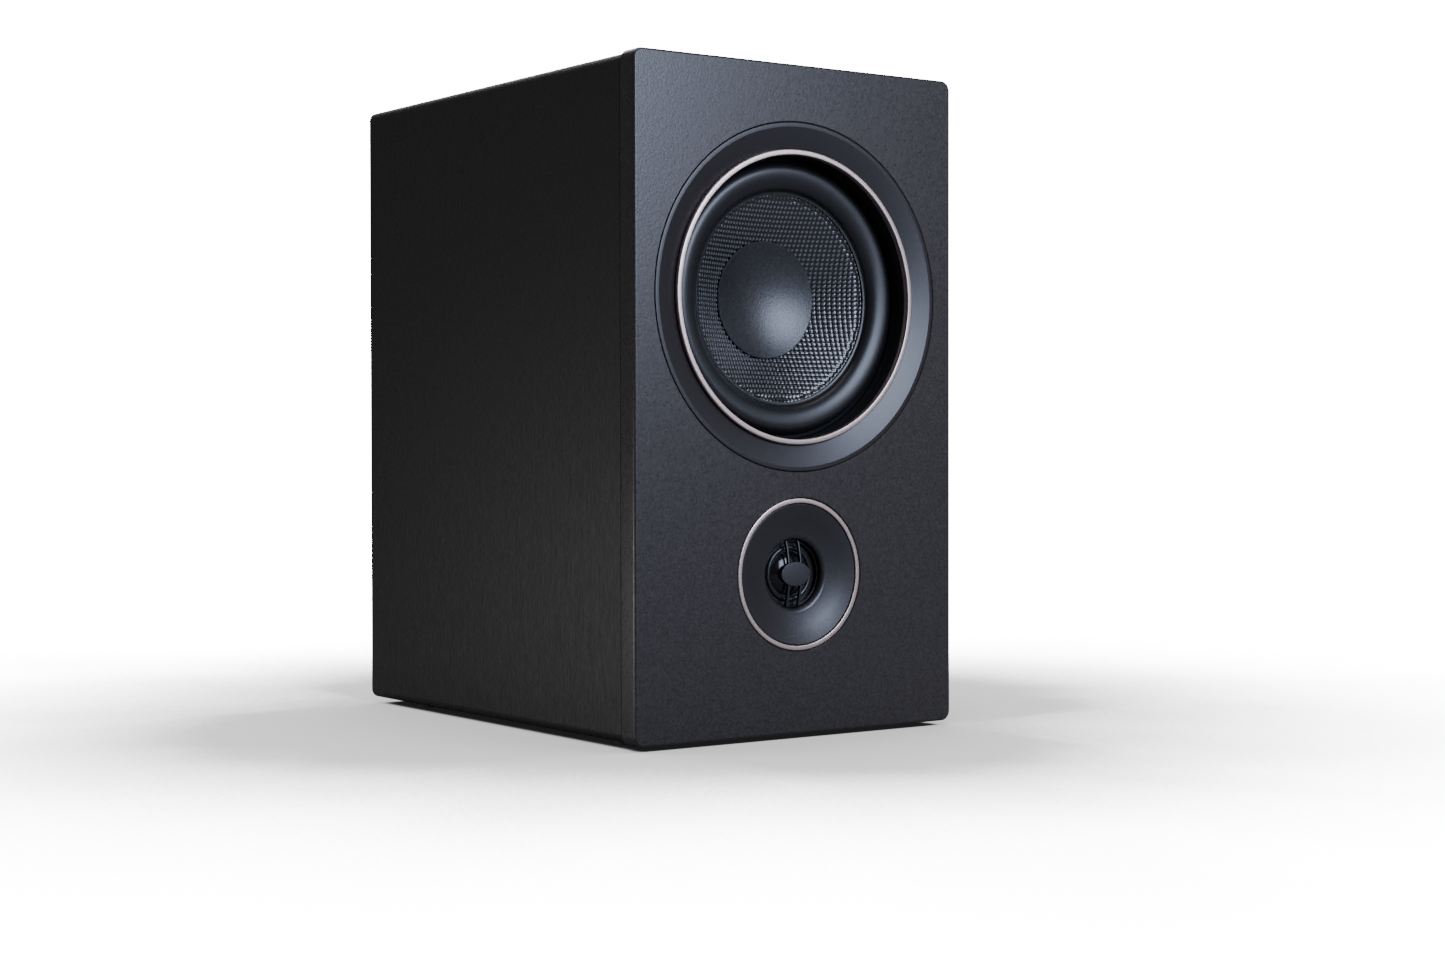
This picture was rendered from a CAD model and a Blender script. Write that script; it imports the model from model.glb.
"""Looks of the two-way bookshelf speaker, modelled and shaded round its CAD frame.

Sizes are in millimetres. x runs to the right and z up as seen from the front, and a depth is
measured backwards from the front face of the baffle.
"""

from math import atan2, ceil, cos, degrees, floor, hypot, pi, radians, sin, tan

import bmesh
import bpy
import numpy as np
from mathutils import Euler, Matrix, Vector


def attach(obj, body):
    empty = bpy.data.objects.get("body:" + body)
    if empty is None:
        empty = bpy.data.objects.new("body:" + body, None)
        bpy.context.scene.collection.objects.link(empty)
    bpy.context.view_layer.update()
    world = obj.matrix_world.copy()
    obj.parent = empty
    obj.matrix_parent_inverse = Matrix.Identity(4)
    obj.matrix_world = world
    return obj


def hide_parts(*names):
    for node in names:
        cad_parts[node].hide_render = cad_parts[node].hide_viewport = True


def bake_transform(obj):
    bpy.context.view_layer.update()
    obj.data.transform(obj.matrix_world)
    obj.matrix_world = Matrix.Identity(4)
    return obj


bl_info = {
    "name": "Bookshelf Speaker",
    "version": (1, 0, 0),
    "blender": (4, 5, 0),
    "location": "View3D > Sidebar > Speaker",
    "description": "Models and shades a two-way bookshelf speaker round its CAD frame",
    "category": "Object",
}

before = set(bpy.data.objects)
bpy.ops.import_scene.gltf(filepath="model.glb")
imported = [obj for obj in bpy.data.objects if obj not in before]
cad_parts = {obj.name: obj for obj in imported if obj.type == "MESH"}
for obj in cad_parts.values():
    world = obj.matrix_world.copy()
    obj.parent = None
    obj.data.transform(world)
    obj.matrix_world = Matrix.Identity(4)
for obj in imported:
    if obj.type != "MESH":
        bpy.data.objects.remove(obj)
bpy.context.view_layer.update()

MM = 0.001
FRONT = -119.5  # y of the front face of the baffle
WOOFER = (0.0, 190.5)  # (x, z) of each axis
TWEETER = (0.0, 71.0)
PORT = (0.0, 216.0)
TERMINALS = (0.0, 90.0)
POSTS = {"red": -9.525, "black": 9.525}
CUP_SCREWS = [(x, TERMINALS[1] + z) for z in (24.5, -24.5) for x in (-37.5, 37.5)]
BODY_Z = 146.25
BACK = 239.0  # depth of the hindmost faces
CUP_FLOOR = 218.0  # depth of the floor of the terminal cup
FLAT = 0.999  # cosine above which a direction counts as along an axis
FINE, ROUND, SMALL = 192, 96, 48  # steps round a turned piece
WHITE = 18.0  # brightness that the view transform shows as paper white


def linear(code):
    """A hex colour as the linear numbers that shaders use."""
    parts = [int(code[i : i + 2], 16) / 255 for i in (0, 2, 4)]
    return tuple(c / 12.92 if c <= 0.04045 else ((c + 0.055) / 1.055) ** 2.4 for c in parts)


def place(x, depth, z):
    """A point of the speaker in metres."""
    return Vector((x, FRONT + depth, z)) * MM


# --- Modelling helpers ---------------------------------------------------------------


def clear_selection():
    active = bpy.context.view_layer.objects.active
    if active and active.mode != "OBJECT":
        bpy.ops.object.mode_set(mode="OBJECT")
    bpy.ops.object.select_all(action="DESELECT")


def activate(obj):
    """Leaves one piece selected and active."""
    clear_selection()
    obj.select_set(True)
    bpy.context.view_layer.objects.active = obj


def choose(kind, test):
    """Selects the edges or faces of the mesh being edited that pass the test."""
    bpy.ops.mesh.select_mode(type=kind)
    bpy.ops.mesh.select_all(action="DESELECT")
    data = bmesh.from_edit_mesh(bpy.context.object.data)
    parts = data.edges if kind == "EDGE" else data.faces
    for part in parts:
        if test(part):
            part.select_set(True)
    data.select_flush_mode()
    bmesh.update_edit_mesh(bpy.context.object.data)


def faces_towards(x=0, y=0, z=0):
    """A test for flat faces that look along a direction."""
    direction = Vector((x, y, z))
    return lambda face: face.normal.dot(direction) > FLAT


def edges_along(axis):
    """A test for edges that run along the axis with a number: 0 for x, 1 for depth, 2 for z."""
    return lambda edge: abs((edge.verts[1].co - edge.verts[0].co).normalized()[axis]) > FLAT


def edges_at_depth(*depths):
    """A test for edges that lie in a plane at one of the depths."""
    levels = [(FRONT + depth) * MM for depth in depths]
    return lambda edge: any(all(abs(v.co.y - y) < 1e-6 for v in edge.verts) for y in levels)


def rounded(corners, segments=5):
    """The closed profile through the corners; a corner's third number rounds it to that radius."""
    points = []
    earlier, later = corners[-1:] + corners[:-1], corners[1:] + corners[:1]
    for before, corner, after in zip(earlier, corners, later):
        here = Vector(corner[:2])
        if len(corner) < 3:
            points.append(here)
            continue
        back = (Vector(before[:2]) - here).normalized()
        ahead = (Vector(after[:2]) - here).normalized()
        half = back.angle(ahead) / 2
        centre = here + (back + ahead).normalized() * corner[2] / sin(half)
        start = here + back * corner[2] / tan(half) - centre
        end = here + ahead * corner[2] / tan(half) - centre
        for step in range(segments + 1):
            share = step / segments
            points.append(centre + (start * (1 - share) + end * share).normalized() * corner[2])
    return points


def arc(centre, across, deep, start, end, steps):
    """Points on an ellipse of (radius, depth); 0 degrees is outwards and 90 is backwards."""
    turns = [radians(start + (end - start) * step / steps) for step in range(steps + 1)]
    return [(centre[0] + across * cos(t), centre[1] + deep * sin(t)) for t in turns]


def turned(name, axis, profile, steps=FINE, smooth=35):
    """Draws a profile of (radius, depth) beside the axis and spins it into a solid."""
    clear_selection()
    points = [place(axis[0] + radius, depth, axis[1]) for radius, depth in profile]
    if profile[0][0] > 0:
        points.append(points[0])
    bpy.ops.mesh.primitive_plane_add(size=MM)
    obj = bpy.context.object
    obj.name = obj.data.name = name
    bpy.ops.object.mode_set(mode="EDIT")
    bpy.ops.mesh.select_mode(type="VERT")
    bpy.ops.mesh.merge(type="CENTER")
    bpy.ops.transform.translate(value=points[0])
    for start, end in zip(points, points[1:]):
        bpy.ops.mesh.extrude_vertices_move(TRANSFORM_OT_translate={"value": end - start})
    bpy.ops.mesh.select_all(action="SELECT")
    centre = place(axis[0], 0, axis[1])
    bpy.ops.mesh.spin(steps=steps, angle=2 * pi, center=centre, axis=(0, 1, 0))
    bpy.ops.mesh.select_all(action="SELECT")
    bpy.ops.mesh.remove_doubles(threshold=0.004 * MM)
    bpy.ops.mesh.normals_make_consistent(inside=False)
    bpy.ops.object.mode_set(mode="OBJECT")
    bpy.ops.object.shade_smooth_by_angle(angle=radians(smooth))
    return obj


def drill(radius, start, end):
    """The profile of a round cutter between two depths."""
    return [(0, start), (radius, start), (radius, end), (0, end)]


def block(name, width, depths, height, x=0.0, z=BODY_Z, corner=0.0, steps=6):
    """A box between two depths, left in edit mode, its corners along the depth rounded."""
    clear_selection()
    bpy.ops.mesh.primitive_cube_add(size=1)
    obj = bpy.context.object
    obj.name = obj.data.name = name
    bpy.ops.object.mode_set(mode="EDIT")
    size = (width * MM, (depths[1] - depths[0]) * MM, height * MM)
    bpy.ops.transform.resize(value=size)
    bpy.ops.transform.translate(value=place(x, (depths[0] + depths[1]) / 2, z))
    if corner:
        choose("EDGE", edges_along(1))
        bpy.ops.mesh.bevel(offset=corner * MM, segments=steps, affect="EDGES")
    return obj


def soften(width, *depths, segments=3):
    """Rounds the edges of the mesh being edited that lie at the depths."""
    choose("EDGE", edges_at_depth(*depths))
    bpy.ops.mesh.bevel(offset=width * MM, segments=segments, affect="EDGES")


def apply(obj, kind, **settings):
    """Adds a modifier with its settings and applies it."""
    activate(obj)
    modifier = obj.modifiers.new(kind.title(), kind)
    for name, value in settings.items():
        setattr(modifier, name, value)
    bpy.ops.object.modifier_apply(modifier=modifier.name)


def cut(obj, cutter, operation="DIFFERENCE"):
    """Cuts or joins another solid, and removes it."""
    apply(obj, "BOOLEAN", object=cutter, operation=operation, solver="EXACT")
    bpy.data.objects.remove(cutter)


def finish_flat(obj, smooth=35):
    """Smooth rounded edges round flat faces that stay flat."""
    activate(obj)
    bpy.ops.object.shade_smooth_by_angle(angle=radians(smooth))
    apply(obj, "WEIGHTED_NORMAL", keep_sharp=True)


def copy(obj, name, x, depth, z):
    """A copy with its own mesh, moved by millimetres."""
    activate(obj)
    bpy.ops.object.duplicate(linked=False)
    made = bpy.context.object
    made.name = made.data.name = name
    bpy.ops.transform.translate(value=Vector((x, depth, z)) * MM)
    bpy.ops.object.transform_apply(location=True, rotation=True, scale=True)
    return made


def fit(obj, material, slot, *nodes, body="root"):
    """Gives a piece its finish, the body it rides on and the CAD nodes it stands for."""
    obj.data.materials.clear()
    obj.data.materials.append(material)
    if body:
        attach(obj, body)
    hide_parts(*nodes)
    return obj


def refinish(material, *nodes):
    """Gives CAD nodes that stay in view inside the box their finish."""
    for name in nodes:
        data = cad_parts[name].data
        data.materials.clear()
        data.materials.append(material)


# --- Material helpers ----------------------------------------------------------------


def add(tree, kind, inputs=None, **settings):
    """Adds a node with its settings, its input values and its links."""
    made = tree.nodes.new("ShaderNode" + kind)
    for name, value in settings.items():
        setattr(made, name, value)
    for socket, value in (inputs or {}).items():
        if isinstance(value, bpy.types.NodeSocket):
            tree.links.new(value, made.inputs[socket])
        else:
            made.inputs[socket].default_value = value
    return made


def begin(name, **values):
    """A new material with one shader, whose sockets take the values."""
    made = bpy.data.materials.new(name)
    made.use_nodes = True
    tree = made.node_tree
    tree.nodes.clear()
    names = {key.replace("_", " ").title(): value for key, value in values.items()}
    shader = add(tree, "BsdfPrincipled", {k.replace("Ior", "IOR"): v for k, v in names.items()})
    add(tree, "OutputMaterial", {"Surface": shader.outputs["BSDF"]})
    return made, tree, shader


def coordinates(tree, size, centre=(0, 0, 0)):
    """Object coordinates counted in pattern sizes, in millimetres along each axis."""
    scale = [0 if s is None else 1 / (s * MM) for s in size]
    moved = [-c * MM * s for c, s in zip(centre, scale)]
    coords = add(tree, "TexCoord")
    inputs = {"Vector": coords.outputs["Object"], "Scale": scale, "Location": moved}
    return add(tree, "Mapping", inputs).outputs["Vector"]


def two_tone(tree, shader, factor, dark, light):
    """Runs the base colour from dark to light with the factor; a colour is hex or linear."""
    dark, light = ((*(linear(c) if isinstance(c, str) else c), 1) for c in (dark, light))
    mix = add(tree, "Mix", {"Factor": factor, 6: dark, 7: light}, data_type="RGBA")
    tree.links.new(mix.outputs[2], shader.inputs["Base Color"])


def spread(tree, value, low, high, to_low, to_high):
    """The value with one range stretched to another."""
    inputs = {"Value": value, 1: low, 2: high, 3: to_low, 4: to_high}
    return add(tree, "MapRange", inputs).outputs["Result"]


def raise_by(tree, shader, height, distance, strength=1.0):
    """Bump of the height, its full step being a distance in millimetres."""
    inputs = {"Height": height, "Distance": distance * MM, "Strength": strength}
    tree.links.new(add(tree, "Bump", inputs).outputs["Normal"], shader.inputs["Normal"])


def speckled(name, dark, light, grain, bump, roughness, even=0.08, **values):
    """A surface whose colour, gloss and height vary with one fine grain, in millimetres."""
    if name in bpy.data.materials:
        return bpy.data.materials[name]
    made, tree, shader = begin(name, **values)
    vector = coordinates(tree, (grain, grain, grain))
    noise = add(tree, "TexNoise", {"Vector": vector, "Scale": 1.0, "Detail": 2.0}).outputs["Fac"]
    two_tone(tree, shader, spread(tree, noise, 0.3, 0.7, 0, 1), dark, light)
    gloss = spread(tree, noise, 0.3, 0.7, roughness - even / 2, roughness + even / 2)
    tree.links.new(gloss, shader.inputs["Roughness"])
    raise_by(tree, shader, noise, bump)
    return made


def spun(name, axis, dark, light, line, bump, roughness, **values):
    """A lathe-turned surface: fine rings of tool marks round the axis."""
    made, tree, shader = begin(name, **values)
    vector = coordinates(tree, (line, line * 6, line), (axis[0], 0, axis[1]))
    flat = add(tree, "VectorMath", {0: vector, 1: (1, 0, 1)}, operation="MULTIPLY")
    radius = add(tree, "VectorMath", {0: flat.outputs["Vector"]}, operation="LENGTH")
    rings = add(
        tree,
        "TexNoise",
        {"W": radius.outputs["Value"], "Scale": 1.0, "Detail": 2.0},
        noise_dimensions="1D",
    ).outputs["Fac"]
    two_tone(tree, shader, spread(tree, rings, 0.3, 0.7, 0, 1), dark, light)
    gloss = spread(tree, rings, 0.3, 0.7, roughness - 0.05, roughness + 0.05)
    tree.links.new(gloss, shader.inputs["Roughness"])
    raise_by(tree, shader, rings, bump)
    return made


# --- Sizes and colours ---------------------------------------------------------------


def length(name, description, default, low=0.0, high=50.0):
    """A size in millimetres."""
    return bpy.props.FloatProperty(
        name=name, description=description, default=default, min=low, max=high
    )


def colour(name, description, code):
    return bpy.props.FloatVectorProperty(
        name=name, description=description, default=linear(code), subtype="COLOR",
        size=3, min=0, max=1
    )


class SpeakerSizes(bpy.types.PropertyGroup):
    """Sizes that change the looks and keep the fit, in millimetres."""

    tow_pitch: length("Tow pitch", "Distance between the tows of the woven cone", 1.95, 1.0, 4.0)
    tow_height: length("Tow height", "How far a tow stands over its neighbours", 0.32, 0.0, 0.4)
    baffle_edge: length("Baffle edge", "Rounding of the front edge of the baffle", 1.2, 0.2, 3.0)
    cabinet_edge: length("Cabinet edge", "Rounding of the ends of the cabinet wrap", 0.5, 0.1, 1.5)
    trim_edge: length("Trim edge", "Rounding of the outer edge of the woofer trim", 0.25, 0.1, 1.0)
    key_power: bpy.props.FloatProperty(
        name="Key light", description="Power of the main softbox", default=14.0, min=0, unit="POWER"
    )


class SpeakerColours(bpy.types.PropertyGroup):
    """Colours that a user would change."""

    red_knob: colour("Red knob", "Colour of the positive knob", "A3110F")
    floor: colour("Floor", "Colour it throws back; the camera sees it white", "808080")


# --- Finishes ------------------------------------------------------------------------


def vinyl_ash(name, size):
    """Black ash vinyl foil, embossed: long fine pores that catch the light as faint streaks."""
    # The pores are drawn coarser than real, about 0.55 mm wide, so that they show.
    made, tree, shader = begin(name)
    vector = coordinates(tree, size)
    pores = add(
        tree, "TexNoise", {"Vector": vector, "Scale": 1.0, "Detail": 3.0, "Roughness": 0.6}
    ).outputs["Fac"]
    two_tone(tree, shader, spread(tree, pores, 0.35, 0.7, 0, 1), "0F0D0C", "211E1C")
    tree.links.new(spread(tree, pores, 0.3, 0.7, 0.62, 0.42), shader.inputs["Roughness"])
    raise_by(tree, shader, pores, 0.12)
    return made


def baffle_paint():
    """Sprayed satin paint with a fine texture: a faint sparkle over a soft wide sheen."""
    # The grain is drawn coarser than real, about 1 mm wide, so that it shows.
    return speckled("Sprayed textured satin paint", "262322", "332E2D", 1.0, 0.05, 0.31)


def driver_plastic():
    """Moulded satin ABS: smoother and a little darker than the paint beside it."""
    return speckled("Moulded satin ABS", "1E1B1D", "242123", 0.5, 0.008, 0.32)


def champagne_metal(name, axis):
    """Lathe-turned aluminium, champagne anodised: a warm pale ring with fine turning lines."""
    return spun(name, axis, "C9B4AC", "DCC9C1", 0.22, 0.006, 0.34, metallic=1.0)


def surround_rubber():
    """Moulded butyl rubber: black with a soft wide sheen."""
    return speckled("Moulded butyl rubber", "111113", "17171A", 0.6, 0.01, 0.34, 0.05)


def woven_fibre(pitch):
    """Plain-woven flat tows under a clear coat: each tow glints along its own back."""
    gloss = {"roughness": 0.25, "coat_weight": 1.0, "coat_roughness": 0.18}
    made, tree, shader = begin("Coated woven fibre", **gloss)
    vector = coordinates(tree, (pitch, None, pitch))
    checks = add(tree, "TexChecker", {"Vector": vector, "Scale": 1.0}).outputs["Fac"]
    weave = add(tree, "Attribute", attribute_name="weave", attribute_type="GEOMETRY")
    strands = coordinates(tree, (pitch / 5, None, pitch * 2))
    other = coordinates(tree, (pitch * 2, None, pitch / 5))
    lines = [
        add(tree, "TexNoise", {"Vector": v, "Scale": 1.0, "Detail": 1.0}).outputs["Fac"]
        for v in (other, strands)
    ]
    strand = add(tree, "Mix", {0: checks, 2: lines[0], 3: lines[1]}).outputs[0]
    # Only the crown of a tow is pale, and its strands run lighter and darker along it.
    crown = spread(tree, weave.outputs["Fac"], 0.6, 1.0, 0, 1)
    streaks = spread(tree, strand, 0.3, 0.7, 0.5, 1.0)
    tone = add(tree, "Math", {0: crown, 1: streaks}, operation="MULTIPLY").outputs["Value"]
    two_tone(tree, shader, tone, "040405", "7C7D83")
    raise_by(tree, shader, strand, 0.03)
    return made


def cap_skin():
    """Moulded cap with a fine spark finish: a dark bowl with one broad soft highlight."""
    gloss = {"specular_ior_level": 0.7}
    return speckled("Moulded matte cap", "0E0E11", "26262A", 0.9, 0.07, 0.36, **gloss)


def gloss_black():
    """Moulded gloss ABS: black with clear reflections."""
    return speckled("Moulded gloss black ABS", "08080A", "0C0C0E", 2.0, 0.001, 0.16, 0.03)


def satin_graphite():
    """Moulded ABS, fine-blasted: the badge and the front edges of the fins read as dark grey."""
    return speckled("Blasted graphite ABS", "1F2023", "292A2E", 0.4, 0.02, 0.42)


def satin_black(name="Moulded satin black ABS"):
    """Moulded black ABS with a fine spark texture."""
    return speckled(name, "111113", "1B1B1E", 0.7, 0.03, 0.45)


def powder_coat():
    """Powder-coated pressed steel: black with a slight orange peel."""
    return speckled("Powder-coated steel", "0D0D0E", "151517", 1.2, 0.02, 0.5)


def zinc_steel():
    """Zinc-plated machined steel: pale grey metal with soft cloudy gloss."""
    return speckled("Zinc-plated steel", "A9ABAE", "C4C6C8", 3.0, 0.005, 0.32, metallic=1.0)


def gold_plate():
    """Gold-plated turned brass."""
    return speckled("Gold-plated brass", "D7A64A", "EBC46C", 2.5, 0.002, 0.2, metallic=1.0)


def copper_wire():
    """Enamelled copper wire wound on a former: rows of turns drawn about 0.6 mm apart."""
    made, tree, shader = begin("Wound enamelled copper", metallic=1.0, coat_weight=0.5)
    vector = coordinates(tree, (6, 0.6, 6))
    wave = add(tree, "TexWave", {"Vector": vector, "Scale": 0.3183, "Distortion": 0.3},
               bands_direction="Y", wave_profile="SIN").outputs["Fac"]
    two_tone(tree, shader, wave, "5A2A12", "C77440")
    tree.links.new(spread(tree, wave, 0, 1, 0.5, 0.28), shader.inputs["Roughness"])
    raise_by(tree, shader, wave, 0.1)
    return made


def spider_cloth():
    """Resin-treated amber cotton: an open cloth of threads 0.5 mm apart."""
    made, tree, shader = begin("Resin-treated cotton", roughness=0.75, sheen_weight=0.2)
    vector = coordinates(tree, (0.5, None, 0.5))
    weave = add(tree, "TexChecker", {"Vector": vector, "Scale": 1.0}).outputs["Fac"]
    two_tone(tree, shader, weave, "8A5A1E", "C38A3C")
    raise_by(tree, shader, weave, 0.05)
    return made


def polyester_wadding():
    """Carded polyester fibre: off-white, matte, with matted strands and lumps."""
    made, tree, shader = begin("Carded polyester wadding", roughness=0.95, sheen_weight=0.5)
    strands = add(
        tree,
        "TexNoise",
        {"Vector": coordinates(tree, (2.5, 14, 2.5)), "Scale": 1.0, "Detail": 6.0,
         "Distortion": 1.5},
    ).outputs["Fac"]
    two_tone(tree, shader, spread(tree, strands, 0.3, 0.7, 0, 1), "B9B7AE", "EDECE6")
    raise_by(tree, shader, strands, 1.2)
    return made


# --- Operators -----------------------------------------------------------------------


class SpeakerOperator:
    """What every operator of the speaker shares."""

    bl_options = {"REGISTER", "UNDO"}

    def execute(self, context):
        self.build(context.scene.speaker_sizes, context.scene.speaker_colours)
        clear_selection()
        return {"FINISHED"}


class SPEAKER_OT_cabinet(SpeakerOperator, bpy.types.Operator):
    """Models the vinyl-wrapped box and its back panel"""

    bl_idname = "speaker.cabinet"
    bl_label = "Cabinet"

    def build(self, sizes, colours):
        ends = (12.0, 236.5)
        wrap = block("cabinet_shell", 169.2, ends, 286.7, corner=4.0, steps=8)
        soften(sizes.cabinet_edge, *ends)
        cut(wrap, block("hollow", 139.2, (0, 250), 256.7, corner=0.5, steps=2))
        finish_flat(wrap)
        # The foil is wrapped round the box, so its grain runs up the sides and across the top.
        foil = vinyl_ash("Wrapped black ash vinyl", (9.0, 0.55, 9.0))
        fit(wrap, foil, "vinyl_wrap", "cabinet_wrap")

        back = ends[1]
        panel = block("back_board", 138.6, (221.5, back), 256.1, corner=0.5, steps=2)
        soften(0.4, back)
        cut(panel, turned("port_hole", PORT, drill(30.5, 220, 238), ROUND))
        cut(panel, block("cup_hole", 64.6, (220, 238), 44.6, *TERMINALS, corner=3.0))
        for axis in CUP_SCREWS:
            cut(panel, turned("pilot", axis, drill(1.9, 222.4, 238), 16))
        finish_flat(panel)
        foil = vinyl_ash("Laid black ash vinyl", (0.55, 9.0, 9.0))
        fit(panel, foil, "vinyl_wrap", "back_panel")


class SPEAKER_OT_baffle(SpeakerOperator, bpy.types.Operator):
    """Models the front baffle with its lip, shadow groove, plug and driver recesses"""

    bl_idname = "speaker.baffle"
    bl_label = "Baffle"

    def build(self, sizes, colours):
        lip = 10.5
        baffle = block("front_board", 171.0, (0, lip), 288.5, corner=4.5, steps=8)
        soften(sizes.baffle_edge, 0, segments=5)
        soften(0.4, lip, segments=2)
        # The neck behind the lip makes the shadow groove, and the plug behind it fills the box.
        cut(baffle, block("neck", 166.0, (9.0, 11.7), 283.5, corner=2.0), "UNION")
        cut(baffle, block("plug", 138.6, (11.0, 22.0), 256.1, corner=0.5, steps=2), "UNION")
        recesses = (
            ("woofer_hole", WOOFER, (75.3, 9.7, 64.0)),
            ("tweeter_hole", TWEETER, (33.3, 6.8, 24.0)),
        )
        for name, axis, (recess, deep, hole) in recesses:
            profile = [(0, -1), (recess + 1.3, -1), (recess, 0.3), (recess, deep)]
            cut(baffle, turned(name, axis, profile + [(hole, deep), (hole, 23), (0, 23)]))
        finish_flat(baffle)
        fit(baffle, baffle_paint(), "baffle_paint", "front_baffle")


class SPEAKER_OT_feet(SpeakerOperator, bpy.types.Operator):
    """Models one rubber foot and sets its three copies"""

    bl_idname = "speaker.feet"
    bl_label = "Feet"

    def build(self, sizes, colours):
        rubber = speckled("Moulded black rubber", "131314", "1C1C1D", 0.6, 0.03, 0.7)
        clear_selection()
        bpy.ops.mesh.primitive_cylinder_add(vertices=SMALL, radius=7.2 * MM, depth=2.6 * MM)
        first = bpy.context.object
        first.name = first.data.name = "foot_1"
        bpy.ops.object.mode_set(mode="EDIT")
        bpy.ops.transform.translate(value=place(-68.0, 32.0, 1.3))
        choose("FACE", faces_towards(z=-1))
        bpy.ops.mesh.inset(thickness=0.4 * MM)
        bpy.ops.mesh.bevel(offset=0.35 * MM, segments=3, affect="EDGES")
        finish_flat(first)
        places = ((0, 0), (136.0, 0), (0, 176.0), (136.0, 176.0))
        feet = [first] + [
            copy(first, f"foot_{i}", x, d, 0) for i, (x, d) in enumerate(places[1:], 2)
        ]
        for number, foot in enumerate(feet, 1):
            fit(foot, rubber, "rubber_black", f"rubber_foot_{number}")


class SPEAKER_OT_woofer_trim(SpeakerOperator, bpy.types.Operator):
    """Models the dished trim ring and the turned metal ring inside it"""

    bl_idname = "speaker.woofer_trim"
    bl_label = "Woofer trim"

    def build(self, sizes, colours):
        edge = sizes.trim_edge
        profile = [
            (75.0, 0.0, edge), (73.2, 0.0, 0.3), (64.0, 2.3, 0.2), (64.0, 3.8), (61.4, 3.8),
            (61.4, 5.4, 0.2), (64.9, 5.4), (64.9, 3.2), (72.6, 3.2), (72.6, 5.4), (75.0, 5.4),
        ]
        trim = turned("trim_dish", WOOFER, rounded(profile))
        fit(trim, driver_plastic(), "driver_trim", "woofer_trim_ring")
        profile = [(61.2, 0.5, 0.45), (63.6, 0.5, 0.6), (63.6, 3.5, 0.2), (61.2, 3.5, 0.2)]
        ring = turned("woofer_metal_ring", WOOFER, rounded(profile))
        metal = champagne_metal("Turned champagne aluminium, large", WOOFER)
        fit(ring, metal, "accent_ring", "woofer_accent_ring")


class SPEAKER_OT_woofer_frame(SpeakerOperator, bpy.types.Operator):
    """Models the pressed frame with its windows, and the foam gasket behind its flange"""

    bl_idname = "speaker.woofer_frame"
    bl_label = "Woofer frame"

    def build(self, sizes, colours):
        profile = [
            (74.5, 5.7), (61.8, 5.7, 0.3), (61.8, 14.1, 0.5), (57.0, 14.1), (57.0, 15.9),
            (59.5, 15.9, 1.0), (41.0, 43.5, 1.5), (35.0, 43.5, 1.5), (35.0, 50.2, 1.0),
            (14.5, 50.2), (14.5, 52.0), (36.8, 52.0, 1.5), (36.8, 45.3, 1.0), (42.8, 45.3, 2.5),
            (63.1, 15.9, 2.0), (63.6, 15.0), (63.6, 8.2), (74.5, 8.2),
        ]
        basket = turned("pressed_frame", WOOFER, rounded(profile, 3), ROUND)
        for number in range(6):
            turn = radians(60 * number)
            x, z = 54.0 * cos(turn), 54.0 * sin(turn)
            window = block("window", 30.0, (19.5, 40.5), 34.0, z=0, corner=0)
            choose("EDGE", edges_along(0))
            bpy.ops.mesh.bevel(offset=4 * MM, segments=4, affect="EDGES")
            bpy.ops.object.mode_set(mode="OBJECT")
            spot = Matrix.Translation(Vector((x, 0, WOOFER[1] + z)) * MM)
            window.matrix_world = spot @ Matrix.Rotation(-turn, 4, "Y")
            activate(window)
            bpy.ops.object.transform_apply(location=True, rotation=True, scale=True)
            cut(basket, window)
        fit(basket, powder_coat(), "frame_black", "woofer_basket")
        gasket = turned("gasket_ring", WOOFER, rounded([
            (64.6, 8.5, 0.25), (73.8, 8.5, 0.25), (73.8, 9.4, 0.25), (64.6, 9.4, 0.25)], 2), ROUND)
        foam = speckled("Closed-cell foam", "101011", "1D1D1F", 0.5, 0.1, 0.9)
        fit(gasket, foam, "gasket_foam", "woofer_gasket")


def bend(obj):
    """Blends a ring-shaped part from the moving cone inside to the fixed frame outside."""
    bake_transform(obj)
    count = len(obj.data.vertices)
    points = np.empty(count * 3)
    obj.data.vertices.foreach_get("co", points)


class SPEAKER_OT_suspension(SpeakerOperator, bpy.types.Operator):
    """Models the half-roll surround and the corrugated spider, which bend as the cone travels"""

    bl_idname = "speaker.suspension"
    bl_label = "Suspension"

    def build(self, sizes, colours):
        # The roll rises gently from the cone and falls steeply to its outer foot.
        crest, height, thick = 54.8, 5.0, 0.7
        face, rear = (crest, 13.1), (crest, 13.1 + thick)
        gentle, steep = 8.3, 4.5
        front = arc(face, gentle, height, 180, 270, 14) + arc(face, steep, height, 270, 360, 12)[1:]
        back = arc(rear, steep - thick, height, 360, 270, 12)
        back += arc(rear, gentle - thick, height, 270, 180, 14)[1:]
        # A shallow moulded step at each foot of the roll shows as a fine line.
        profile = (
            [(45.1, 13.3), (45.2, 12.95), (46.1, 12.9)] + front[1:-1]
            + [(59.9, 12.85), (61.0, 12.85), (61.4, 13.2), (61.4, 13.8)] + back + [(45.1, 13.75)]
        )
        surround = turned("woofer_roll", WOOFER, profile, smooth=50)
        fit(surround, surround_rubber(), "surround_rubber", "woofer_surround", body=None)
        bend(surround)

        waves, samples, level = 6, 72, 42.2
        first, last = 15.0, 33.5
        shares = [i / samples for i in range(samples + 1)]
        rolls = [(first + (last - first) * s, level + 0.8 * cos(pi * waves * s)) for s in shares]
        sheet = [(13.4, level)] + rolls + [(40.2, level + 0.4)]
        sheet += [(radius, depth + 0.5) for radius, depth in reversed(sheet)]
        spider = turned("woofer_damper", WOOFER, sheet, ROUND, smooth=60)
        fit(spider, spider_cloth(), "spider_cloth", "woofer_spider", body=None)
        bend(spider)


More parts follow.
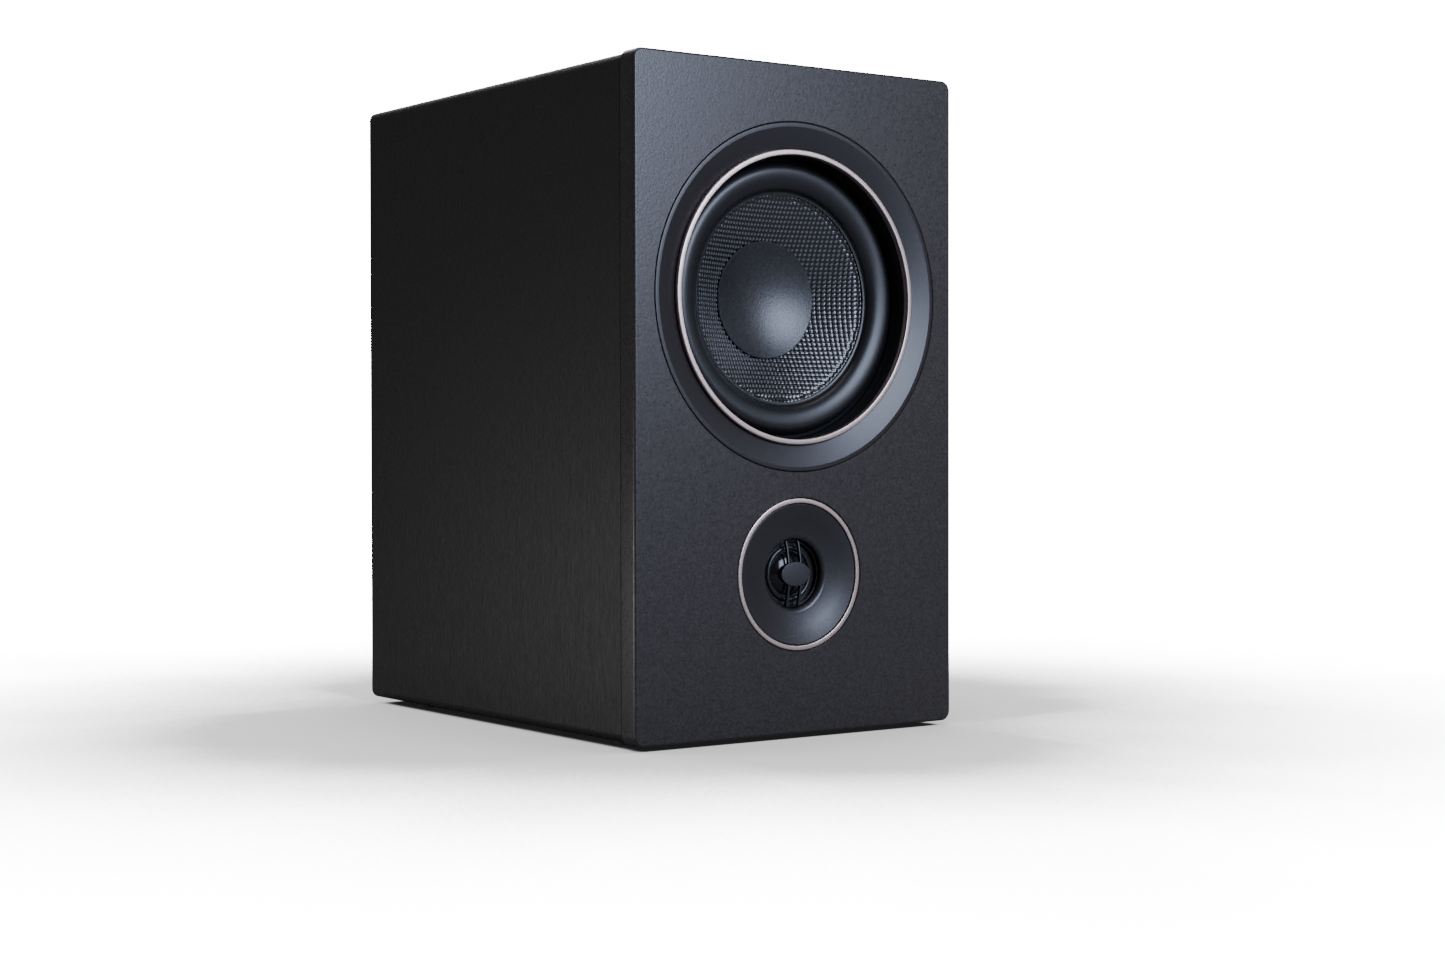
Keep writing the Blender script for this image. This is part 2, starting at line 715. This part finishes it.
class SPEAKER_OT_cone(SpeakerOperator, bpy.types.Operator):
    """Models the woven cone, tow by tow, and the dished cap glued on it"""

    bl_idname = "speaker.cone"
    bl_label = "Cone"

    def build(self, sizes, colours):
        pitch, inner, outer = sizes.tow_pitch, 13.4, 46.0
        flat, seam, slope = 44.9, 43.9, 31.7  # the flat rim, the crease inside it, the cone's run
        step = pitch / 5
        half = ceil(outer / step) + 1
        clear_selection()
        bpy.ops.mesh.primitive_grid_add(
            x_subdivisions=2 * half, y_subdivisions=2 * half, size=2 * half * step * MM,
            rotation=(radians(90), 0, 0),
        )
        cone = bpy.context.object
        cone.name = cone.data.name = "cone_sheet"
        bpy.ops.object.transform_apply(location=True, rotation=True, scale=True)
        data = bmesh.new()
        data.from_mesh(cone.data)
        level = data.verts.layers.float.new("weave")
        outside = []
        for vert in data.verts:
            x, z = vert.co.x / MM, vert.co.z / MM
            radius = hypot(x, z)
            if not inner - step < radius < outer + step:
                outside.append(vert)
                continue
            kept = min(max(radius, inner), outer)
            x, z = x * kept / radius, z * kept / radius
            column, row = x / pitch, z / pitch
            # Every other crossing has the tow that runs along x on top, arched over its neighbours.
            u, v = column - floor(column) - 0.5, row - floor(row) - 0.5
            if (floor(column) + floor(row)) % 2:
                u, v = v, u
            rise = max(cos(pi * v), 0) ** 0.5 * max(cos(pi * u * 0.9), 0) ** 0.8
            share = min(max((flat - kept) / slope, 0), 1)
            depth = 13.9 + 18 * share + 1.5 * share * share
            crease = 0.3 * max(0, 1 - abs(kept - seam) / 0.9)
            vert.co = place(x, depth + crease + sizes.tow_height * (0.5 - rise), WOOFER[1] + z)
            vert[level] = rise * (1 - crease)
        bmesh.ops.delete(data, geom=outside, context="VERTS")
        data.to_mesh(cone.data)
        data.free()
        activate(cone)
        bpy.ops.object.shade_smooth()
        if sum(face.normal.y for face in cone.data.polygons) > 0:
            cone.data.flip_normals()
        apply(cone, "SOLIDIFY", thickness=0.7 * MM, offset=-1.0)
        fit(cone, woven_fibre(pitch), "woven_cone", "woofer_cone", body="woofer_moving")

        steps, radius, rim_depth, hollow = 16, 25.5, 24.6, 5.6
        shares = [i / steps for i in range(steps + 1)]
        bowl = [(radius * s, rim_depth + hollow * (1 - s * s)) for s in shares]
        rim = [(25.75, 24.75), (25.6, 25.2)]
        back = [(r, depth + 0.6) for r, depth in reversed(bowl)]
        cap = turned("cap_bowl", WOOFER, bowl + rim + back[1:], smooth=50)
        fit(cap, cap_skin(), "dust_cap", "woofer_dust_cap", body="woofer_moving")


class SPEAKER_OT_tweeter(SpeakerOperator, bpy.types.Operator):
    """Models the waveguide, its metal ring, and the dome with its roll"""

    bl_idname = "speaker.tweeter"
    bl_label = "Tweeter"

    def build(self, sizes, colours):
        lip = arc((17.5, 5.4), 2.5, 1.8, 180, 270, 10)
        profile = [
            (30.5, 0.4, 0.25), (30.5, 2.8), (32.9, 2.8), (32.9, 6.5), (23.5, 6.5), (23.5, 8.2),
            (15.0, 8.2), *lip[:-1], (18.2, 3.52), (23.5, 2.2, 6.0),
        ]
        guide = turned("horn", TWEETER, rounded(profile), smooth=40)
        fit(guide, driver_plastic(), "driver_trim", "tweeter_waveguide")
        profile = [(30.8, 0.0, 0.4), (33.0, 0.0, 0.55), (33.0, 2.5, 0.2), (30.8, 2.5, 0.2)]
        ring = turned("tweeter_metal_ring", TWEETER, rounded(profile))
        metal = champagne_metal("Turned champagne aluminium, small", TWEETER)
        fit(ring, metal, "accent_ring", "tweeter_accent_ring")

        radius, foot, rise, half, steps = 9.6, 8.4, 3.0, 1.2, 16  # half is the dome's half angle
        turns = [half * i / steps for i in range(steps + 1)]
        dome = [
            (radius * sin(t) / sin(half), foot - rise * (cos(t) - cos(half)) / (1 - cos(half)))
            for t in turns
        ]
        shell = dome + [(0.97 * r, depth + 0.35) for r, depth in reversed(dome)]
        cap = turned("dome_cap", TWEETER, shell, ROUND, smooth=60)
        fit(cap, gloss_black(), "gloss_black", "tweeter_dome", body="tweeter_moving")

        roll = arc((11.25, 8.5), 1.1, 1.1, 180, 360, 12)
        back = arc((11.25, 8.8), 0.8, 0.8, 360, 180, 12)
        profile = [(9.35, 8.5)] + roll + [(16.4, 8.5), (16.4, 8.8)] + back + [(9.35, 8.8)]
        edge = turned("tweeter_roll", TWEETER, profile, ROUND, smooth=50)
        fit(edge, surround_rubber(), "surround_rubber", "tweeter_surround", body=None)
        bend(edge)


class SPEAKER_OT_bridge(SpeakerOperator, bpy.types.Operator):
    """Models the seat ring, the two arched fins and the plain oval badge in front of the dome"""

    bl_idname = "speaker.bridge"
    bl_label = "Bridge"

    def build(self, sizes, colours):
        # Fine turned steps on the seat ring catch the light as thin rings.
        profile = [(13.9, 6.6, 0.15), (14.1, 6.4, 0.1), (14.7, 6.4, 0.15), (14.7, 7.9), (13.9, 7.9)]
        bridge = turned("bridge_and_badge", TWEETER, rounded(profile, 3), ROUND)
        long, apart, bow, slices = 28.2, 3.2, 2.2, 16
        for side in (-1, 1):
            fin = block("fin", 1.0, (3.2, 4.8), long, side * apart, TWEETER[1])
            choose("EDGE", edges_along(2))
            bpy.ops.mesh.bevel(offset=0.25 * MM, segments=3, affect="EDGES")
            for cut_at in range(1, slices):
                height = TWEETER[1] + long * (cut_at / slices - 0.5)
                bpy.ops.mesh.select_all(action="SELECT")
                bpy.ops.mesh.bisect(plane_co=place(0, 0, height), plane_no=(0, 0, 1))
            bpy.ops.object.mode_set(mode="OBJECT")
            for vert in fin.data.vertices:
                share = (vert.co.z / MM - TWEETER[1]) / (long / 2)
                vert.co.y += bow * share * share * MM
            cut(bridge, fin, "UNION")
        wide, high = 7.7, 5.3
        disc = rounded([(0, 3.0), (wide, 3.0, 0.35), (wide, 4.3), (0, 4.3)])
        badge = turned("badge", (0, 0), disc, ROUND)
        for vert in badge.data.vertices:
            vert.co.z = vert.co.z * high / wide + TWEETER[1] * MM
        cut(bridge, badge, "UNION")
        activate(bridge)
        bpy.ops.object.shade_smooth_by_angle(angle=radians(35))
        fit(bridge, gloss_black(), "gloss_black", "tweeter_bridge")
        bridge.data.materials.append(satin_graphite())
        for face in bridge.data.polygons:
            centre = face.center / MM
            radius = hypot(centre.x, (centre.z - TWEETER[1]) * wide / high)
            on_badge = radius < wide + 0.1 and centre.y < FRONT + 3.2
            on_fin = radius > wide - 0.1 and abs(abs(centre.x) - apart) < 0.52
            if on_badge or (on_fin and face.normal.y < -0.5):
                face.material_index = 1


class SPEAKER_OT_port(SpeakerOperator, bpy.types.Operator):
    """Models the flared reflex tube"""

    bl_idname = "speaker.port"
    bl_label = "Port"

    def build(self, sizes, colours):
        mouth = arc((32.0, 225.0), 12.0, 14.0, 90, 180, 16)
        inner = arc((24.0, 133.0), 4.0, 7.0, 180, 270, 8)
        profile = [
            (37.0, 237.4), (36.7, 238.4), (36.0, BACK), *mouth, *inner,
            (26.3, 127.5), (24.0, 132.0), (22.3, 136.0), (22.3, 222.0), (29.8, 233.8),
            (29.8, 236.8), (37.0, 236.8),
        ]
        tube = turned("flared_tube", PORT, profile, ROUND, smooth=30)
        fit(tube, satin_black(), "black_plastic", "port_tube")


def cross_headed(name, axis, head, top, shank, tip):
    """A pan-head screw with a cross recess, looking backwards."""
    profile = [(0, top), (head - 0.9, top), (head, top - 1.0), (head, top - 1.2)]
    profile += [(shank, top - 1.2), (shank, tip + 2), (0, tip)]
    screw = turned(name, axis, profile, SMALL)
    for width, height in ((3.2, 0.75), (0.75, 3.2)):
        cut(screw, block("cross", width, (top - 0.8, top + 1), height, *axis))
    return screw


class SPEAKER_OT_terminal_cup(SpeakerOperator, bpy.types.Operator):
    """Models the moulded terminal cup and its four screws"""

    bl_idname = "speaker.terminal_cup"
    bl_label = "Terminal cup"

    def build(self, sizes, colours):
        z = TERMINALS[1]
        cup = block("cup", 86.0, (236.8, BACK), 60.0, 0, z, 3.0)
        soften(0.7, BACK)
        body = block("cup_box", 64.0, (215.6, 237.0), 44.0, 0, z, 3.0)
        cut(cup, body, "UNION")
        pocket = block("pocket", 60.0, (CUP_FLOOR, 241.0), 40.0, 0, z, 3.0)
        soften(1.2, CUP_FLOOR)
        cut(cup, pocket)
        for x in POSTS.values():
            cut(cup, turned("bore", (x, z), drill(3.25, 214, 220), SMALL))
        well = [(0, 235), (1.9, 235), (1.9, 237.4), (3.4, 237.4), (3.4, 240), (0, 240)]
        for number in (0, 2, 1, 3):  # down the left side, then down the right
            cut(cup, turned("well", CUP_SCREWS[number], well, SMALL))
        # Raised plus and minus beside the posts: the only marks on the speaker.
        marks = [(-24.5, 5.0, 1.1), (-24.5, 1.1, 5.0), (24.5, 5.0, 1.1)]
        for x, width, height in marks:
            cut(cup, block("mark", width, (217.5, 218.5), height, x, z), "UNION")
        finish_flat(cup)
        fit(cup, satin_black("Moulded black ABS, spark finish"), "black_plastic", "terminal_cup")
        steel = speckled("Black phosphated steel", "121213", "1E1E20", 0.8, 0.01, 0.4, metallic=0.6)
        left, top = CUP_SCREWS[0]
        first = cross_headed("cup_screw_1", (left, top), 3.1, BACK - 0.1, 1.6, 223.0)
        screws = [first] + [
            copy(first, f"cup_screw_{i}", x - left, 0, z - top)
            for i, (x, z) in enumerate(CUP_SCREWS[1:], 2)
        ]
        for number, screw in enumerate(screws, 1):
            fit(screw, steel, "black_screw", f"terminal_screw_{number}")


class SPEAKER_OT_binding_posts(SpeakerOperator, bpy.types.Operator):
    """Models each post: its gold stud and washer, and its fluted knob, which unscrews"""

    bl_idname = "speaker.binding_posts"
    bl_label = "Binding posts"

    def knob(self, name, x):
        """A cylinder with twelve flutes, a plain collar and a bore."""
        centre = place(x, 0, TERMINALS[1])
        clear_selection()
        bpy.ops.mesh.primitive_cylinder_add(
            vertices=ROUND, radius=7.6 * MM, depth=13.4 * MM, rotation=(radians(90), 0, 0)
        )
        obj = bpy.context.object
        obj.name = obj.data.name = name
        bpy.ops.object.transform_apply(rotation=True)
        bpy.ops.object.mode_set(mode="EDIT")
        bpy.ops.transform.translate(value=place(x, (223.2 + 236.6) / 2, TERMINALS[1]))

        def in_flute(edge):
            middle = (edge.verts[0].co + edge.verts[1].co) / 2 - centre
            phase = degrees(atan2(middle.z, middle.x)) % 30 - 15
            return edges_along(1)(edge) and abs(phase) < 6

        choose("EDGE", in_flute)
        bpy.ops.transform.resize(value=(0.91, 1, 0.91), center_override=centre)
        soften(0.6, 236.6)
        choose("FACE", faces_towards(y=-1))
        bpy.ops.mesh.inset(thickness=0.5 * MM)
        bpy.ops.mesh.extrude_region_move(TRANSFORM_OT_translate={"value": (0, -1.6 * MM, 0)})
        bpy.ops.object.mode_set(mode="OBJECT")
        cut(obj, turned("bore", (x, TERMINALS[1]), drill(3.4, 220, 238), SMALL))
        finish_flat(obj, 30)
        return obj

    def build(self, sizes, colours):
        gold = gold_plate()
        bright = colours.red_knob
        deep = [0.85 * part for part in bright]
        finishes = {
            "red": speckled("Moulded red ABS", deep, bright, 0.5, 0.004, 0.28),
            "black": speckled("Moulded black ABS, knob", "101011", "161617", 0.5, 0.004, 0.28),
        }
        for name, x in POSTS.items():
            axis = (x, TERMINALS[1])
            profile = [
                (0, 205.0), (2.6, 205.0), (2.95, 205.4), (2.95, 218.3), (6.2, 218.3, 0.2),
                (6.2, 220.3, 0.3), (2.95, 220.3), (2.95, 235.1), (2.7, 235.5), (2.05, 235.3),
                (2.05, 223.0), (0, 223.0),
            ]
            stud = turned(f"stud_{name}", axis, rounded(profile, 2), SMALL)
            cut(stud, block("wire_hole", 2.0, (222.0, 224.0), 10.0, *axis))
            fit(stud, gold, "gold_brass", f"post_stud_{name}")
            ring = [(3.4, 220.6, 0.1), (6.4, 220.6, 0.2), (6.4, 221.3, 0.2), (3.4, 221.3, 0.1)]
            washer = turned(f"washer_{name}", axis, rounded(ring, 2), SMALL)
            fit(washer, gold, "gold_brass", f"post_washer_{name}", body=f"{name}_clamp")
            knob = self.knob(f"knob_{name}", x)
            fit(knob, finishes[name], f"knob_{name}", f"post_knob_{name}", body=f"{name}_knob")


class SPEAKER_OT_wadding(SpeakerOperator, bpy.types.Operator):
    """Models the sheet of polyester wadding that lines the sides and top of the box"""

    bl_idname = "speaker.wadding"
    bl_label = "Wadding"

    def build(self, sizes, colours):
        shape = [
            (69.0, 46.5), (69.0, 262.0), (66.5, 271.5), (57.0, 274.0),
            (-57.0, 274.0), (-66.5, 271.5), (-69.0, 262.0), (-69.0, 46.5), (-64.0, 45.8),
            (-57.6, 47.0), (-57.6, 257.0), (-54.0, 262.0), (54.0, 262.0), (57.6, 257.0),
            (57.6, 47.0), (64.0, 45.8),
        ]
        clear_selection()
        bpy.ops.mesh.primitive_plane_add(size=MM)
        sheet = bpy.context.object
        sheet.name = sheet.data.name = "wadding_lining"
        bpy.ops.object.mode_set(mode="EDIT")
        bpy.ops.mesh.select_mode(type="VERT")
        bpy.ops.mesh.merge(type="CENTER")
        points = [place(x, 72.0, z) for x, z in shape + shape[:1]]
        bpy.ops.transform.translate(value=points[0])
        for start, end in zip(points, points[1:]):
            bpy.ops.mesh.extrude_vertices_move(TRANSFORM_OT_translate={"value": end - start})
        bpy.ops.mesh.select_all(action="SELECT")
        bpy.ops.mesh.remove_doubles(threshold=0.01 * MM)
        bpy.ops.mesh.edge_face_add()
        bpy.ops.mesh.extrude_region_move(TRANSFORM_OT_translate={"value": (0, 126 * MM, 0)})
        bpy.ops.mesh.select_all(action="SELECT")
        bpy.ops.mesh.normals_make_consistent(inside=False)
        bpy.ops.object.mode_set(mode="OBJECT")
        apply(sheet, "REMESH", mode="VOXEL", voxel_size=3.5 * MM, use_smooth_shade=True)
        clouds = bpy.data.textures.new("Matted lumps", "CLOUDS")
        clouds.noise_scale = 0.022
        apply(sheet, "DISPLACE", texture=clouds, strength=1.6 * MM, mid_level=0.85)
        apply(sheet, "SMOOTH", factor=0.5, iterations=2)
        fit(sheet, polyester_wadding(), "wadding", "damping_wadding")


def smooth_points(route, count):
    """Points along a Catmull-Rom curve through the route."""
    padded = [route[0]] + list(route) + [route[-1]]
    points = []
    for index in range(count + 1):
        along = min(index * (len(route) - 1) / count, len(route) - 1 - 1e-9)
        t = along - int(along)
        span = padded[int(along) : int(along) + 4]
        weights = (
            -t + 2 * t**2 - t**3, 2 - 5 * t**2 + 3 * t**3, t + 4 * t**2 - 3 * t**3, t**3 - t**2
        )
        points.append([sum(w * p[k] for w, p in zip(weights, span)) / 2 for k in range(3)])
    return points


class SPEAKER_OT_leads(SpeakerOperator, bpy.types.Operator):
    """Models the two jacketed leads inside the box, fixed at both ends"""

    bl_idname = "speaker.leads"
    bl_label = "Inside leads"

    routes = {
        "woofer": [(0, 32.4, 131), (0, 39, 127), (-3, 70, 100), (-5, 110, 92), (-4, 155, 96),
                   (0, 190, 110), (0, 205, 121), (0, 212.7, 124)],
        "tweeter": [(0, 21.4, 71), (0, 31, 69), (2, 60, 52), (4, 100, 38), (3, 145, 34),
                    (0, 185, 44), (0, 203, 53), (0, 212.7, 55)],
    }

    def build(self, sizes, colours):
        jacket = speckled("Extruded PVC jacket", "121213", "1B1B1C", 0.4, 0.01, 0.42)
        for name, route in self.routes.items():
            clear_selection()
            bpy.ops.curve.primitive_nurbs_path_add()
            path = bpy.context.object
            path.name = f"{name}_wire"
            curve = path.data
            curve.splines.clear()
            spline = curve.splines.new("POLY")
            points = smooth_points(route, 60)
            spline.points.add(len(points) - 1)
            for point, (x, depth, z) in zip(spline.points, points):
                point.co = (*place(x, depth, z), 1)
            curve.bevel_depth, curve.bevel_resolution, curve.use_fill_caps = 1.45 * MM, 3, True
            bpy.ops.object.convert(target="MESH")
            wire = bpy.context.object
            bpy.ops.object.mode_set(mode="EDIT")
            bpy.ops.mesh.select_all(action="SELECT")
            bpy.ops.mesh.remove_doubles(threshold=0.005 * MM)
            bpy.ops.object.mode_set(mode="OBJECT")
            bpy.ops.object.shade_smooth_by_angle(angle=radians(50))
            fit(wire, jacket, "lead_jacket", f"{name}_lead")


class SPEAKER_OT_inside(SpeakerOperator, bpy.types.Operator):
    """Finishes the CAD parts that stay in view when the box is opened"""

    bl_idname = "speaker.inside"
    bl_label = "Motor and crossover"

    def build(self, sizes, colours):
        steel_parts = [
            "woofer_top_plate", "woofer_yoke", "tweeter_top_plate", "tweeter_pole_cap",
            "tweeter_pot", "post_nut_red", "post_nut_black",
        ]
        steel_parts += [f"woofer_screw_{i}" for i in (1, 2, 3, 4)]
        steel_parts += [f"tweeter_screw_{i}" for i in (1, 2, 3)]
        refinish(zinc_steel(), *steel_parts)
        ferrite = speckled("Ground ferrite", "26262A", "34343A", 0.6, 0.02, 0.6)
        refinish(ferrite, "woofer_magnet", "tweeter_magnet")
        coils = ("woofer_voice_coil", "tweeter_voice_coil", "woofer_inductor", "tweeter_inductor")
        refinish(copper_wire(), *coils)
        fibre = speckled("Pressed phenolic board", "6E4A1F", "8A6230", 0.5, 0.02, 0.6)
        refinish(fibre, "woofer_tag_strip")
        mask = speckled("Green solder mask on glass fibre", "0C3B1C", "12512A", 1.6, 0.01, 0.3)
        refinish(mask, "crossover_board")
        film = speckled("Wrapped polyester film", "9C6A1C", "B17C28", 3.0, 0.01, 0.25)
        refinish(film, "woofer_capacitor", "tweeter_capacitor")
        cement = speckled("Cast cement", "BEBBB2", "DAD7CE", 0.5, 0.05, 0.85)
        refinish(cement, "tweeter_resistor")


class SPEAKER_OT_stage(SpeakerOperator, bpy.types.Operator):
    """Sets the pale floor, the white surroundings, the lights and the camera"""

    bl_idname = "speaker.stage"
    bl_label = "Stage"

    def build(self, sizes, colours):
        self.floor(colours)
        self.surroundings()
        self.lights(sizes)
        self.camera()

    def floor(self, colours):
        clear_selection()
        bpy.ops.mesh.primitive_plane_add(size=60.0)
        floor = bpy.context.object
        floor.name = "studio_floor"
        # The camera sees a white sweep with a soft contact shadow. Light bounces off it as off a
        # grey card, so that the dark finishes keep their depth.
        made = bpy.data.materials.new("Matt white studio floor")
        made.use_nodes = True
        tree = made.node_tree
        tree.nodes.clear()
        tone = (*colours.floor, 1)
        near = add(tree, "AmbientOcclusion", {"Distance": 0.6}, samples=32).outputs["AO"]
        glow = add(tree, "ValToRGB", {"Fac": near})
        ramp = glow.color_ramp
        ramp.interpolation = "EASE"
        # Black in the gap under the feet, grey beside the box, white further out.
        shades = (
            (0.1, 0.0008), (0.34, 0.04), (0.5, 0.045), (0.82, 0.065), (0.91, 0.25), (0.98, 1.0)
        )
        for _ in shades[2:]:
            ramp.elements.new(0.7)
        for element, (position, shade) in zip(ramp.elements, shades):
            element.position, element.color = position, (shade, shade, shade, 1)
        seen = add(tree, "Emission", {"Color": glow.outputs["Color"], "Strength": WHITE})
        matt = add(tree, "BsdfDiffuse", {"Color": tone})
        rays = add(tree, "LightPath").outputs["Is Camera Ray"]
        mix = add(tree, "MixShader", {0: rays, 1: matt.outputs[0], 2: seen.outputs[0]})
        add(tree, "OutputMaterial", {"Surface": mix.outputs[0]})
        floor.data.materials.append(made)

    def surroundings(self):
        world = bpy.data.worlds.new("White studio")
        bpy.context.scene.world = world
        world.use_nodes = True
        tree = world.node_tree
        tree.nodes.clear()
        white = add(tree, "Background", {"Color": (1, 1, 1, 1), "Strength": WHITE})
        dim = add(tree, "Background", {"Color": (0.9, 0.95, 1, 1), "Strength": 0.12})
        rays = add(tree, "LightPath").outputs["Is Camera Ray"]
        mix = add(tree, "MixShader", {0: rays, 1: dim.outputs[0], 2: white.outputs[0]})
        add(tree, "OutputWorld", {"Surface": mix.outputs[0]})

    def softbox(self, name, turn, rise, distance, size, power, tint):
        """A soft light at an angle from straight ahead, towards the right, and a height angle."""
        clear_selection()
        aim = Vector((0, -0.1, 0.15))
        away = Vector((
            sin(radians(turn)) * cos(radians(rise)),
            -cos(radians(turn)) * cos(radians(rise)),
            sin(radians(rise)),
        ))
        bpy.ops.object.light_add(type="AREA", location=aim + away * distance)
        lamp = bpy.context.object
        lamp.name = name
        lamp.rotation_euler = away.to_track_quat("Z", "Y").to_euler()
        lamp.data.shape = "RECTANGLE"
        lamp.data.size, lamp.data.size_y = size
        lamp.data.energy = power
        lamp.data.color = tint
        lamp.visible_camera = False

    def lights(self, sizes):
        self.softbox("key_softbox", 13, 20, 1.2, (0.7, 0.6), sizes.key_power, (0.8, 0.91, 1.2))
        self.softbox("right_reflector", 42, 6, 1.4, (1.2, 1.2), 0.8, (1.0, 0.97, 1.0))
        self.softbox("top_softbox", 180, 80, 1.6, (1.6, 1.6), 24.0, (1.0, 0.98, 1.0))
        self.softbox("side_reflector", -107, -15, 0.5, (0.4, 0.12), 0.9, (1.0, 0.97, 1.0))
        self.softbox("rear_softbox", 158, 25, 1.6, (1.0, 1.0), 9.0, (1.0, 0.98, 1.0))

    def camera(self):
        clear_selection()
        bpy.ops.object.camera_add(location=(-0.6233, -0.9339, 0.129))
        camera = bpy.context.object
        heading, tilt, roll = 35.56, -1.01, -0.10
        level = Euler((radians(90 + tilt), 0, radians(-heading))).to_matrix()
        camera.rotation_euler = (level @ Matrix.Rotation(radians(roll), 3, "Z")).to_euler()
        camera.data.lens, camera.data.sensor_width = 59.2, 36.0
        bpy.context.scene.camera = camera


class SPEAKER_PT_sidebar(bpy.types.Panel):
    """Lists the sizes, the colours and every piece of the speaker."""

    bl_label = "Bookshelf Speaker"
    bl_idname = "SPEAKER_PT_sidebar"
    bl_space_type = "VIEW_3D"
    bl_region_type = "UI"
    bl_category = "Speaker"

    def draw(self, context):
        for group in (context.scene.speaker_sizes, context.scene.speaker_colours):
            column = self.layout.column(align=True)
            for name in group.__annotations__:
                column.prop(group, name)
        column = self.layout.column(align=True)
        for operator in OPERATORS:
            column.operator(operator.bl_idname)


OPERATORS = (
    SPEAKER_OT_cabinet,
    SPEAKER_OT_baffle,
    SPEAKER_OT_feet,
    SPEAKER_OT_woofer_trim,
    SPEAKER_OT_woofer_frame,
    SPEAKER_OT_suspension,
    SPEAKER_OT_cone,
    SPEAKER_OT_tweeter,
    SPEAKER_OT_bridge,
    SPEAKER_OT_port,
    SPEAKER_OT_terminal_cup,
    SPEAKER_OT_binding_posts,
    SPEAKER_OT_wadding,
    SPEAKER_OT_leads,
    SPEAKER_OT_inside,
    SPEAKER_OT_stage,
)
CLASSES = (SpeakerSizes, SpeakerColours, *OPERATORS, SPEAKER_PT_sidebar)


def register():
    for cls in CLASSES:
        bpy.utils.register_class(cls)
    bpy.types.Scene.speaker_sizes = bpy.props.PointerProperty(type=SpeakerSizes)
    bpy.types.Scene.speaker_colours = bpy.props.PointerProperty(type=SpeakerColours)


def unregister():
    del bpy.types.Scene.speaker_colours
    del bpy.types.Scene.speaker_sizes
    for cls in reversed(CLASSES):
        bpy.utils.unregister_class(cls)


def main():
    register()
    for operator in OPERATORS:
        group, name = operator.bl_idname.split(".")
        getattr(getattr(bpy.ops, group), name)()


if __name__ == "__main__":
    main()
